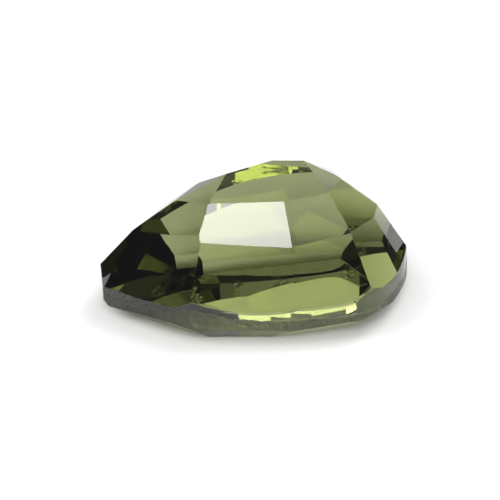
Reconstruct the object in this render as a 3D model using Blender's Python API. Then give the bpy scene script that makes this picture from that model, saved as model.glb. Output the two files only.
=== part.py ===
"""Faceted kornerupine: a loose pear cut, 9.3 mm long, lying on its table with the pavilion up."""

import math

import bmesh
import bpy
from mathutils import Vector

# Driving dimensions, in metres. The stone lies along X, with its blunt tip at -X.
mm = 0.001
girdle_drop = 0.50 * mm
crown_height = 0.52 * mm
preform_top = 5.0 * mm
steps_between_points = 4
merge_distance = 1e-8

# Plan of the girdle, anticlockwise from the near corner of the tip.
girdle_points = (
    (-4.51, -0.45),
    (-3.24, -1.61),
    (-2.21, -2.29),
    (0.12, -2.82),
    (2.39, -2.90),
    (3.22, -2.69),
    (3.88, -2.10),
    (4.42, -1.25),
    (4.71, -0.25),
    (4.75, 0.57),
    (4.54, 1.34),
    (4.03, 2.15),
    (3.25, 2.66),
    (2.39, 2.88),
    (0.12, 2.78),
    (-2.21, 2.20),
    (-3.22, 1.72),
    (-4.43, 0.76),
)

# Each pavilion facet is cut flat: the compass direction that it faces (degrees, 0 at +X),
# its slope from the girdle plane (degrees), and its depth from the stone's middle (mm).
tip_facets = ((-175.5, 59.8, 3.91),)
girdle_tier = (
    (-133.5, 59.9, 2.98),
    (-132.0, 60.1, 2.95),
    (-98.8, 61.2, 2.47),
    (-91.5, 60.7, 2.59),
    (-39.9, 58.4, 3.87),
    (-31.3, 57.8, 4.03),
    (17.5, 62.5, 3.99),
    (38.5, 58.2, 3.95),
    (137.6, 54.5, 3.07),
)
middle_tier = (
    (-137.1, 47.4, 3.06),
    (-97.8, 49.6, 2.57),
    (-93.8, 49.2, 2.63),
    (-37.2, 45.3, 3.79),
    (24.6, 45.4, 3.73),
    (83.6, 50.4, 2.63),
    (102.7, 50.4, 2.50),
    (136.1, 44.8, 2.96),
)
keel_tier = (
    (-146.6, 28.3, 3.24),
    (-98.2, 31.6, 2.92),
    (-38.4, 27.4, 3.74),
    (36.2, 37.0, 3.60),
    (80.4, 41.6, 2.81),
    (108.3, 37.3, 2.77),
    (146.2, 30.5, 3.17),
)

# Each crown facet: the direction that it faces, its slope from the table, and how far out
# from the middle its edge meets the table (mm).
crown_facets = (
    (-127.3, 42.0, 2.65),
    (-99.6, 49.0, 2.33),
    (-84.9, 40.0, 2.42),
    (-53.0, 40.0, 3.31),
    (-27.0, 42.0, 3.82),
    (26.3, 32.0, 3.24),
    (92.5, 33.0, 1.56),
    (91.7, 48.0, 1.70),
    (130.1, 41.3, 1.91),
)


def clear_scene():
    for obj in list(bpy.data.objects):
        bpy.data.objects.remove(obj, do_unlink=True)


def smooth_loop(points):
    """Points on a closed curve through the given ones, with the tip's short side left straight."""
    count = len(points)
    loop = []
    for index in range(count):
        before, start, end, after = (Vector(points[(index + k) % count]) for k in (-1, 0, 1, 2))
        if index == 0:
            before = 2 * start - end
        if index == count - 2:
            after = 2 * end - start
        if index == count - 1:
            loop.append(start)
            continue
        for step in range(steps_between_points):
            t = step / steps_between_points
            loop.append(
                0.5
                * (
                    2 * start
                    + (end - before) * t
                    + (2 * before - 5 * start + 4 * end - after) * t**2
                    + (3 * start - before - 3 * end + after) * t**3
                )
            )
    return loop


def facing(azimuth, slope):
    """Unit normal of a facet that looks up, or down where the slope is over 90 degrees."""
    turn, tilt = math.radians(azimuth), math.radians(slope)
    return Vector(
        (
            math.sin(tilt) * math.cos(turn),
            math.sin(tilt) * math.sin(turn),
            math.cos(tilt),
        )
    )


def cut_facet(stone, normal, depth):
    """Takes off all that lies beyond the plane and closes the stone with one flat facet."""
    cut = bmesh.ops.bisect_plane(
        stone,
        geom=stone.verts[:] + stone.edges[:] + stone.faces[:],
        dist=merge_distance,
        plane_co=normal * depth,
        plane_no=normal,
        clear_outer=True,
    )
    rim = [item for item in cut["geom_cut"] if isinstance(item, bmesh.types.BMEdge)]
    if rim:
        bmesh.ops.contextual_create(stone, geom=rim)


def preform():
    """The stone before its facets: the girdle's outline as an upright prism."""
    stone = bmesh.new()
    table_level = -(girdle_drop + crown_height)
    corners = [stone.verts.new((x * mm, y * mm, table_level)) for x, y in smooth_loop(girdle_points)]
    base = stone.faces.new(corners)
    top = bmesh.ops.extrude_face_region(stone, geom=[base])
    raised = [item for item in top["geom"] if isinstance(item, bmesh.types.BMVert)]
    bmesh.ops.translate(stone, verts=raised, vec=(0, 0, preform_top - table_level))
    bmesh.ops.recalc_face_normals(stone, faces=stone.faces[:])
    return stone


def gem_material():
    material = bpy.data.materials.new("olive_green_kornerupine")
    material.use_nodes = True
    shader = material.node_tree.nodes["Principled BSDF"]
    shader.inputs["Base Color"].default_value = (0.30, 0.36, 0.12, 1.0)
    shader.inputs["Roughness"].default_value = 0.02
    shader.inputs["Metallic"].default_value = 0.0
    shader.inputs["IOR"].default_value = 1.67
    shader.inputs["Transmission Weight"].default_value = 0.9
    return material


def kornerupine():
    stone = preform()
    for azimuth, slope, depth in tip_facets + girdle_tier + middle_tier + keel_tier:
        cut_facet(stone, facing(azimuth, slope), depth * mm)
    drop = girdle_drop + crown_height
    for azimuth, slope, reach in crown_facets:
        tilt = math.radians(slope)
        depth = math.sin(tilt) * reach * mm + math.cos(tilt) * drop
        cut_facet(stone, facing(azimuth, 180 - slope), depth)
    bmesh.ops.recalc_face_normals(stone, faces=stone.faces[:])

    # The origin goes to the middle of the bounding box, on the plane of the table.
    low = Vector([min(v.co[axis] for v in stone.verts) for axis in range(3)])
    high = Vector([max(v.co[axis] for v in stone.verts) for axis in range(3)])
    middle = (low + high) / 2
    bmesh.ops.translate(stone, verts=stone.verts[:], vec=(-middle.x, -middle.y, -low.z))

    mesh = bpy.data.meshes.new("kornerupine")
    stone.to_mesh(mesh)
    stone.free()
    mesh.materials.append(gem_material())
    gem = bpy.data.objects.new("kornerupine", mesh)
    bpy.context.collection.objects.link(gem)
    return gem


clear_scene()
kornerupine()
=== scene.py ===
import math

import bpy
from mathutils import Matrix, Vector


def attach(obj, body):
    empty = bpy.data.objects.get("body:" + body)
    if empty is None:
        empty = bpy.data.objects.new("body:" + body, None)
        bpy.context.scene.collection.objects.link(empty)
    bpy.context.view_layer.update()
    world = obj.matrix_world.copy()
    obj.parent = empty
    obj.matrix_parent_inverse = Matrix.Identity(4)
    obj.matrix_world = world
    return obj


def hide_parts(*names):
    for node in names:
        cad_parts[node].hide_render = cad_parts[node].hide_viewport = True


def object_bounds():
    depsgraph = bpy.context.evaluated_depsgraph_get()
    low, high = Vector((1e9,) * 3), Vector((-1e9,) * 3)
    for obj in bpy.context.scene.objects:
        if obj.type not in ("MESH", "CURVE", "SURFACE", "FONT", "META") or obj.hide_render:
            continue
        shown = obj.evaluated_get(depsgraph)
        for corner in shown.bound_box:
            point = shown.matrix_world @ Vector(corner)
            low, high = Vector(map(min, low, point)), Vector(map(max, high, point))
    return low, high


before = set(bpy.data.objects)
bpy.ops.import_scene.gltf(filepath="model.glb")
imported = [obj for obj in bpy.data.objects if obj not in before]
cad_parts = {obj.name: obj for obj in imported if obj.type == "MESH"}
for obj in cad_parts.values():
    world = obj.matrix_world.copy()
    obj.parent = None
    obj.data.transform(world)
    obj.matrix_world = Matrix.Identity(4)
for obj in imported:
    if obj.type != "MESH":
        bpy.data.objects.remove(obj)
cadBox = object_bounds()
print("frame loaded:", ", ".join(sorted(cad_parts)))

mm = 0.001


def deselectAll():
    if bpy.context.mode != "OBJECT":
        bpy.ops.object.mode_set(mode="OBJECT")
    bpy.ops.object.select_all(action="DESELECT")


def direction(azimuth, elevation):
    # azimuth in degrees from +X towards +Y, elevation above the floor
    turn, lift = math.radians(azimuth), math.radians(elevation)
    return Vector(
        (math.cos(lift) * math.cos(turn), math.cos(lift) * math.sin(turn), math.sin(lift))
    )


# the stone is a copy of the CAD solid with its facet edges very slightly worn
stoneLook = {
    "name": "kornerupine_polished",
    "weld": 0.002 * mm,
    "flatWithin": 0.6,  # degrees: triangles this close to one plane are one facet
    "edgeWear": 0.014 * mm,
    "edgesOver": 3.0,  # degrees
    "girdleUpright": 0.02,  # a face whose normal rises less than this is the ground girdle
    "lip": 0.07 * mm,  # polished lip where the pavilion meets the near side of the girdle
    "lipRise": 0.3,  # a facet beside the lip faces up more than this
    "lipToFront": 0.7,  # and to the front more than this
}


def makeStone():
    deselectAll()
    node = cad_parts["kornerupine"]
    node.select_set(True)
    bpy.context.view_layer.objects.active = node
    bpy.ops.object.duplicate()
    stone = bpy.context.view_layer.objects.active
    stone.name = stoneLook["name"]
    stone.data.name = stoneLook["name"]
    for key in list(stone.keys()):
        del stone[key]
    stone.parent = None
    bpy.ops.mesh.customdata_custom_splitnormals_clear()
    bpy.ops.object.mode_set(mode="EDIT")
    bpy.ops.mesh.select_all(action="SELECT")
    bpy.ops.mesh.remove_doubles(threshold=stoneLook["weld"])
    bpy.ops.mesh.dissolve_limited(angle_limit=math.radians(stoneLook["flatWithin"]))
    bpy.ops.object.mode_set(mode="OBJECT")
    bpy.ops.object.shade_flat()

    # which faces are the matte girdle is kept on the mesh for the material
    ground = stone.data.attributes.new("ground", "FLOAT", "FACE")
    for face in stone.data.polygons:
        ground.data[face.index].value = float(abs(face.normal.z) < stoneLook["girdleUpright"])

    upright = {face.index for face in stone.data.polygons if ground.data[face.index].value > 0.5}
    lipEdges = set()
    for face in stone.data.polygons:
        rises = face.normal.z > stoneLook["lipRise"]
        toFront = face.normal.y < -stoneLook["lipToFront"]
        if face.index not in upright and rises and toFront:
            lipEdges |= set(face.edge_keys)
    girdleEdges = set()
    for index in upright:
        girdleEdges |= set(stone.data.polygons[index].edge_keys)
    weights = stone.data.attributes.new("bevel_weight_edge", "FLOAT", "EDGE")
    for edge in stone.data.edges:
        weights.data[edge.index].value = float(edge.key in lipEdges & girdleEdges)
    lip = stone.modifiers.new("lip", "BEVEL")
    lip.width = stoneLook["lip"]
    lip.segments = 2
    lip.limit_method = "WEIGHT"
    lip.use_clamp_overlap = False
    bpy.ops.object.modifier_apply(modifier=lip.name)

    wear = stone.modifiers.new("edgeWear", "BEVEL")
    wear.width = stoneLook["edgeWear"]
    wear.segments = 1
    wear.limit_method = "ANGLE"
    wear.angle_limit = math.radians(stoneLook["edgesOver"])
    bpy.ops.object.modifier_apply(modifier=wear.name)
    return stone


stone = makeStone()
print("stone:", len(stone.data.polygons), "faces")


# clear crystal that absorbs, with a ground girdle
gemLook = {
    "ior": 1.67,
    "polish": 0.0,
    "girdleRough": (0.12, 0.6),
    "surface": (1.0, 1.0, 1.0, 1.0),
    "girdleDark": (0.11, 0.105, 0.065, 1.0),
    "girdlePale": (0.32, 0.32, 0.20, 1.0),
    "groundTo": (1.13 * mm, 1.19 * mm),  # above this height the girdle is nearly polished
    "uneven": 0.25 * mm,
    "groundLean": 0.12,  # how much lower that is for each mm towards the near side
    "tipRise": 0.3 * mm,  # how much higher it is at the tip
    "tipReach": (-2.5 * mm, -0.5 * mm),
    "farSide": (0.5 * mm, 1.5 * mm),
    "patches": 900.0,  # per metre: the far side of the girdle is ground only in patches
    "patchEdge": (0.40, 0.45),
    "blotches": (1100.0, 1100.0, 2600.0),  # per metre, flatter than wide
    "blotchEdge": (0.35, 0.68),
    "roughEdge": (0.35, 0.65),
    "grain": 5200.0,
    "grainDepth": 0.06 * mm,
    "absorbColour": (0.38, 0.43, 0.0, 1.0),
    "absorbDensity": 400.0,
}


def makeGemMaterial():
    material = bpy.data.materials.new("clear_olive_kornerupine")
    material.use_nodes = True
    nodes, links = material.node_tree.nodes, material.node_tree.links
    shader = nodes["Principled BSDF"]
    shader.inputs["IOR"].default_value = gemLook["ior"]
    shader.inputs["Transmission Weight"].default_value = 1.0

    girdle = nodes.new("ShaderNodeAttribute")
    girdle.attribute_name = "ground"
    # only the ground girdle is blotchy and grainy, the facets stay clear
    place = nodes.new("ShaderNodeTexCoord")
    stretch = nodes.new("ShaderNodeMapping")
    stretch.inputs["Scale"].default_value = gemLook["blotches"]
    links.new(place.outputs["Object"], stretch.inputs["Vector"])
    blotches = nodes.new("ShaderNodeTexNoise")
    blotches.inputs["Scale"].default_value = 1.0
    blotches.inputs["Detail"].default_value = 6.0
    blotches.inputs["Roughness"].default_value = 0.7
    links.new(stretch.outputs["Vector"], blotches.inputs["Vector"])
    # the grinding stops at an uneven line, a little under the girdle's upper edge
    height = nodes.new("ShaderNodeSeparateXYZ")
    links.new(place.outputs["Object"], height.inputs["Vector"])
    uneven = nodes.new("ShaderNodeMath")
    uneven.operation = "MULTIPLY_ADD"
    uneven.inputs[1].default_value = gemLook["uneven"]
    links.new(blotches.outputs["Fac"], uneven.inputs[0])
    links.new(height.outputs["Z"], uneven.inputs[2])
    leaning = nodes.new("ShaderNodeMath")
    leaning.operation = "MULTIPLY_ADD"
    leaning.inputs[1].default_value = -gemLook["groundLean"]
    links.new(height.outputs["Y"], leaning.inputs[0])
    links.new(uneven.outputs["Value"], leaning.inputs[2])
    # towards the tip the grinding covers the whole band
    tipRise = nodes.new("ShaderNodeMapRange")
    tipRise.inputs["From Min"].default_value = gemLook["tipReach"][0]
    tipRise.inputs["From Max"].default_value = gemLook["tipReach"][1]
    tipRise.inputs["To Min"].default_value = -gemLook["tipRise"]
    tipRise.inputs["To Max"].default_value = 0.0
    links.new(height.outputs["X"], tipRise.inputs["Value"])
    tipLower = nodes.new("ShaderNodeMath")
    tipLower.operation = "ADD"
    links.new(leaning.outputs["Value"], tipLower.inputs[0])
    links.new(tipRise.outputs["Result"], tipLower.inputs[1])
    below = nodes.new("ShaderNodeMapRange")
    below.inputs["From Min"].default_value = gemLook["groundTo"][0] + gemLook["uneven"] / 2
    below.inputs["From Max"].default_value = gemLook["groundTo"][1] + gemLook["uneven"] / 2
    below.inputs["To Min"].default_value = 1.0
    below.inputs["To Max"].default_value = 0.0
    links.new(tipLower.outputs["Value"], below.inputs["Value"])
    belowMask = nodes.new("ShaderNodeMath")
    belowMask.operation = "MULTIPLY"
    links.new(girdle.outputs["Fac"], belowMask.inputs[0])
    links.new(below.outputs["Result"], belowMask.inputs[1])
    patches = nodes.new("ShaderNodeTexNoise")
    patches.inputs["Scale"].default_value = gemLook["patches"]
    patches.inputs["Detail"].default_value = 4.0
    links.new(place.outputs["Object"], patches.inputs["Vector"])
    missed = nodes.new("ShaderNodeMapRange")
    missed.inputs["From Min"].default_value = gemLook["patchEdge"][0]
    missed.inputs["From Max"].default_value = gemLook["patchEdge"][1]
    links.new(patches.outputs["Fac"], missed.inputs["Value"])
    farSide = nodes.new("ShaderNodeMapRange")
    farSide.inputs["From Min"].default_value = gemLook["farSide"][0]
    farSide.inputs["From Max"].default_value = gemLook["farSide"][1]
    links.new(height.outputs["Y"], farSide.inputs["Value"])
    farMissed = nodes.new("ShaderNodeMath")
    farMissed.operation = "MULTIPLY"
    links.new(missed.outputs["Result"], farMissed.inputs[0])
    links.new(farSide.outputs["Result"], farMissed.inputs[1])
    groundMask = nodes.new("ShaderNodeMath")
    groundMask.operation = "SUBTRACT"
    groundMask.use_clamp = True
    links.new(belowMask.outputs["Value"], groundMask.inputs[0])
    links.new(farMissed.outputs["Value"], groundMask.inputs[1])

    blotchRamp = nodes.new("ShaderNodeValToRGB")
    blotchRamp.color_ramp.elements[0].position = gemLook["blotchEdge"][0]
    blotchRamp.color_ramp.elements[0].color = gemLook["girdleDark"]
    blotchRamp.color_ramp.elements[1].position = gemLook["blotchEdge"][1]
    blotchRamp.color_ramp.elements[1].color = gemLook["girdlePale"]
    links.new(blotches.outputs["Fac"], blotchRamp.inputs["Fac"])
    tint = nodes.new("ShaderNodeMix")
    tint.data_type = "RGBA"
    tint.inputs["A"].default_value = gemLook["surface"]
    links.new(groundMask.outputs["Value"], tint.inputs["Factor"])
    links.new(blotchRamp.outputs["Color"], tint.inputs["B"])
    links.new(tint.outputs["Result"], shader.inputs["Base Color"])

    groundRough = nodes.new("ShaderNodeMapRange")
    groundRough.inputs["From Min"].default_value = gemLook["roughEdge"][0]
    groundRough.inputs["From Max"].default_value = gemLook["roughEdge"][1]
    groundRough.inputs["To Min"].default_value = gemLook["girdleRough"][1]
    groundRough.inputs["To Max"].default_value = gemLook["girdleRough"][0]
    links.new(blotches.outputs["Fac"], groundRough.inputs["Value"])
    roughness = nodes.new("ShaderNodeMapRange")
    roughness.inputs["To Min"].default_value = gemLook["polish"]
    links.new(groundRough.outputs["Result"], roughness.inputs["To Max"])
    links.new(groundMask.outputs["Value"], roughness.inputs["Value"])
    links.new(roughness.outputs["Result"], shader.inputs["Roughness"])

    grain = nodes.new("ShaderNodeTexNoise")
    grain.inputs["Scale"].default_value = gemLook["grain"]
    grain.inputs["Detail"].default_value = 3.0
    links.new(place.outputs["Object"], grain.inputs["Vector"])
    bump = nodes.new("ShaderNodeBump")
    bump.inputs["Distance"].default_value = gemLook["grainDepth"]
    links.new(groundMask.outputs["Value"], bump.inputs["Strength"])
    links.new(grain.outputs["Fac"], bump.inputs["Height"])
    links.new(bump.outputs["Normal"], shader.inputs["Normal"])

    absorb = nodes.new("ShaderNodeVolumeAbsorption")
    absorb.inputs["Color"].default_value = gemLook["absorbColour"]
    absorb.inputs["Density"].default_value = gemLook["absorbDensity"]
    links.new(absorb.outputs["Volume"], nodes["Material Output"].inputs["Volume"])
    return material


stone.data.materials.clear()
stone.data.materials.append(makeGemMaterial())
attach(stone, "root")
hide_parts("kornerupine")
print("gem material made")


floorLook = {
    "size": 1.2,
    "gap": 0.02 * mm,  # air under the table, as under any stone that only lies there
    "colour": (0.9, 0.9, 0.9, 1.0),
}


def makeFloor():
    deselectAll()
    bpy.ops.mesh.primitive_plane_add(size=floorLook["size"], location=(0, 0, -floorLook["gap"]))
    floor = bpy.context.view_layer.objects.active
    floor.name = "floor"
    material = bpy.data.materials.new("pale_floor")
    material.use_nodes = True
    shader = material.node_tree.nodes["Principled BSDF"]
    shader.inputs["Base Color"].default_value = floorLook["colour"]
    shader.inputs["Roughness"].default_value = 0.9
    shader.inputs["Specular IOR Level"].default_value = 0.0
    floor.data.materials.append(material)


makeFloor()
print("floor made")


# small dark cards low beside the stone: what the tip mirrors there stays dark
cardLook = {
    "colour": (0.05, 0.05, 0.05, 1.0),
    # azimuth, distance, width and height
    "back_left": (130, 12 * mm, 7 * mm, 5 * mm),
    "right": (-8, 9 * mm, 5 * mm, 2 * mm),
}


def makeCard(name):
    azimuth, distance, width, height = cardLook[name]
    deselectAll()
    spot = direction(azimuth, 0) * distance
    bpy.ops.mesh.primitive_plane_add(
        size=1,
        location=(spot.x, spot.y, height / 2),
        rotation=(math.radians(90), 0, math.radians(azimuth - 90)),
    )
    card = bpy.context.view_layer.objects.active
    card.name = "dark_card_" + name
    card.scale = (width, height, 1)
    bpy.ops.object.transform_apply(location=True, rotation=True, scale=True)
    card.visible_camera = False
    card.visible_diffuse = False
    card.visible_shadow = False
    material = bpy.data.materials.new("dark_card_" + name)
    material.use_nodes = True
    shader = material.node_tree.nodes["Principled BSDF"]
    shader.inputs["Base Color"].default_value = cardLook["colour"]
    shader.inputs["Roughness"].default_value = 0.9
    shader.inputs["Specular IOR Level"].default_value = 0.0
    card.data.materials.append(material)


makeCard("back_left")
makeCard("right")
print("cards made")


lightLook = {
    "distance": 0.5,
    "world": (0.12, 0.12, 0.12, 1.0),
}
# name: azimuth, elevation, width and height seen from the stone (degrees), brightness,
# and what it is for: both, only the floor, or only glints in the stone
softboxes = {
    "front_panel": (-100, 48, 16, 20, 8.5, "both"),
    "front_strip": (-76, 53.5, 16, 7, 7.5, "glint"),
    "side_strip": (-58, 41, 36, 9, 9.0, "glint"),
    "low_right": (27, 5, 26, 9, 1.8, "glint"),
    "high_right": (36, 44, 24, 20, 1.2, "glint"),
    "backdrop": (92, 36, 64, 44, 1.5, "glint"),
    "overhead": (-90, 80, 100, 90, 0.45, "both"),
    "left_fill": (178, 50, 30, 34, 3.0, "floor"),
    "right_fill": (28, 50, 30, 34, 3.8, "floor"),
    "front_fill": (-95, 34, 90, 44, 0.9, "floor"),
    "back_top": (75, 60, 60, 50, 0.4, "floor"),
}


def makeSoftbox(name, azimuth, elevation, width, height, brightness, purpose):
    away = direction(azimuth, elevation)
    lamp = bpy.data.lights.new(name, "AREA")
    lamp.shape = "RECTANGLE"
    lamp.size = 2 * lightLook["distance"] * math.tan(math.radians(width / 2))
    lamp.size_y = 2 * lightLook["distance"] * math.tan(math.radians(height / 2))
    lamp.energy = brightness * math.pi * lamp.size * lamp.size_y
    light = bpy.data.objects.new(name, lamp)
    light.location = away * lightLook["distance"]
    light.rotation_euler = away.to_track_quat("Z", "Y").to_euler()
    light.visible_camera = False
    light.visible_glossy = purpose != "floor"
    light.visible_transmission = purpose != "floor"
    light.visible_diffuse = purpose != "glint"
    bpy.context.scene.collection.objects.link(light)


for name, values in softboxes.items():
    makeSoftbox(name, *values)

world = bpy.data.worlds.new("studio")
world.use_nodes = True
world.node_tree.nodes["Background"].inputs["Color"].default_value = lightLook["world"]
bpy.context.scene.world = world
print("lights:", ", ".join(softboxes))


cameraLook = {
    "azimuth": -9.7,  # 0 looks along +Y
    "elevation": 33.0,
    "lens": 700.0,
    "sensor": 36.0,
    "frameWidth": 500 / 33.5 * mm,
    "aim": (-0.092 * mm, cadBox[0][1] + 3.155 * mm, 1.396 * mm),
}


def makeCamera():
    turn, lift = math.radians(cameraLook["azimuth"]), math.radians(cameraLook["elevation"])
    back = Vector((math.sin(turn) * math.cos(lift), -math.cos(turn) * math.cos(lift), math.sin(lift)))
    data = bpy.data.cameras.new("camera")
    data.lens = cameraLook["lens"]
    data.sensor_width = cameraLook["sensor"]
    distance = cameraLook["frameWidth"] * cameraLook["lens"] / cameraLook["sensor"]
    data.clip_start = distance * 0.1
    data.clip_end = distance * 20
    camera = bpy.data.objects.new("camera", data)
    camera.location = Vector(cameraLook["aim"]) + back * distance
    camera.rotation_euler = back.to_track_quat("Z", "Y").to_euler()
    bpy.context.scene.collection.objects.link(camera)
    bpy.context.scene.camera = camera


makeCamera()
bpy.context.scene.view_settings.view_transform = "Standard"
print("camera made")
